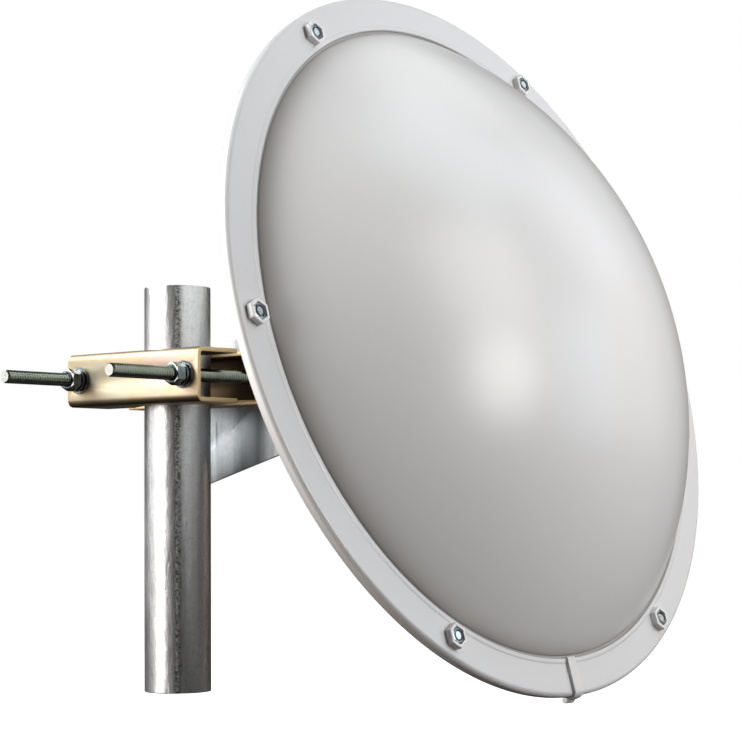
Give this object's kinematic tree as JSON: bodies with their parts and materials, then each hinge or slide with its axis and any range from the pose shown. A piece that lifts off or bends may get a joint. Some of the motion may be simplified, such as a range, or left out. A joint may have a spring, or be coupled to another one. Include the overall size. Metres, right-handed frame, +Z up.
{
  "type": "mast-mounted parabolic antenna",
  "caption": "Parabolic point-to-point antenna with a domed radome, tilting on a side bracket held to a round mast by a two-rod clamp.",
  "frame": {"origin": "on the mast's axis, level with the two clamp rods", "axes": "+Z up along the mast, the dish looks along -Y and 16 degrees up, the clamp's rods lie along X with their free ends at -X"},
  "size_m": [0.65, 0.4769, 0.6312],
  "materials": {
    "mast_galvanised": "hot-dip galvanised tube, rough weld seam",
    "sheet_galvanised": "galvanised sheet with spangle",
    "yellow_chromate": "zinc plate, yellow chromate, faintly iridescent",
    "dull_zinc": "dull olive zinc on a rolled thread",
    "bright_zinc": "bright blue zinc plate",
    "radome_plastic": "satin-gloss white moulding",
    "white_powder_coat": "white powder coat",
    "cast_aluminium": "machined and cast",
    "feed_ptfe": "turned PTFE",
    "gasket_rubber": "closed-cell ring"
  },
  "bodies": {
    "mast": {"mast_section": "mast_galvanised"},
    "clamp": {"front_jaw": "yellow_chromate", "clamp_rod_1": "dull_zinc", "clamp_rod_2": "dull_zinc", "jam_nut_1": "bright_zinc", "jam_nut_2": "bright_zinc", "pivot_washer": "bright_zinc", "pivot_spring_washer": "bright_zinc", "pivot_nut": "bright_zinc", "slot_washer": "bright_zinc", "slot_spring_washer": "bright_zinc", "slot_nut": "bright_zinc"},
    "rear_jaw": {"rear_jaw": "yellow_chromate", "clamp_1_washer": "bright_zinc", "clamp_1_spring_washer": "bright_zinc", "clamp_2_washer": "bright_zinc", "clamp_2_spring_washer": "bright_zinc"},
    "clamp_nut_1": {"clamp_1_nut": "bright_zinc"},
    "clamp_nut_2": {"clamp_2_nut": "bright_zinc"},
    "dish": {"main_bracket": "sheet_galvanised", "hub_ring": "cast_aluminium", "hub_washer_1": "bright_zinc", "hub_washer_2": "bright_zinc", "hub_washer_3": "bright_zinc", "hub_washer_4": "bright_zinc", "hub_bolt_1": "bright_zinc", "hub_bolt_2": "bright_zinc", "hub_bolt_3": "bright_zinc", "hub_bolt_4": "bright_zinc", "reflector": "white_powder_coat", "rim_gasket": "gasket_rubber", "radome": "radome_plastic", "radome_bolt_1": "bright_zinc", "radome_bolt_2": "bright_zinc", "radome_bolt_3": "bright_zinc", "radome_bolt_4": "bright_zinc", "radome_bolt_5": "bright_zinc", "radome_bolt_6": "bright_zinc", "radome_nut_1": "bright_zinc", "radome_nut_2": "bright_zinc", "radome_nut_3": "bright_zinc", "radome_nut_4": "bright_zinc", "radome_nut_5": "bright_zinc", "radome_nut_6": "bright_zinc", "rim_clip": "radome_plastic"},
    "feed": {"feed_collar": "cast_aluminium", "feed_tube": "cast_aluminium", "feed_cone": "feed_ptfe", "sub_reflector": "cast_aluminium"}
  },
  "joints": [
    {"name": "mast_azimuth", "type": "hinge", "parent": "mast", "child": "clamp", "pos_m": [0, 0, 0], "axis": [0, 0, 1], "continuous": true},
    {"name": "elevation", "type": "hinge", "parent": "clamp", "child": "dish", "pos_m": [0, -0.066, 0], "axis": [-1, 0, 0], "range_deg": [-34, 2]},
    {"name": "clamp_open", "type": "slide", "parent": "clamp", "child": "rear_jaw", "axis": [-1, 0, 0], "range_m": [0, 0.065]},
    {"name": "clamp_nut_1_spin", "type": "hinge", "parent": "rear_jaw", "child": "clamp_nut_1", "pos_m": [-0.07, -0.066, 0], "axis": [-1, 0, 0], "continuous": true},
    {"name": "clamp_nut_2_spin", "type": "hinge", "parent": "rear_jaw", "child": "clamp_nut_2", "pos_m": [-0.07, 0.066, 0], "axis": [-1, 0, 0], "continuous": true},
    {"name": "feed_polarisation", "type": "hinge", "parent": "dish", "child": "feed", "pos_m": [0.14, -0.24948, 0.03493], "axis": [0, -0.9613, 0.2756], "range_deg": [0, 90]}
  ],
  "couplings": [
    {"joint": "clamp_nut_1_spin", "follows": "clamp_open", "rad_per_m": 3590.4},
    {"joint": "clamp_nut_2_spin", "follows": "clamp_open", "rad_per_m": 3590.4}
  ]
}
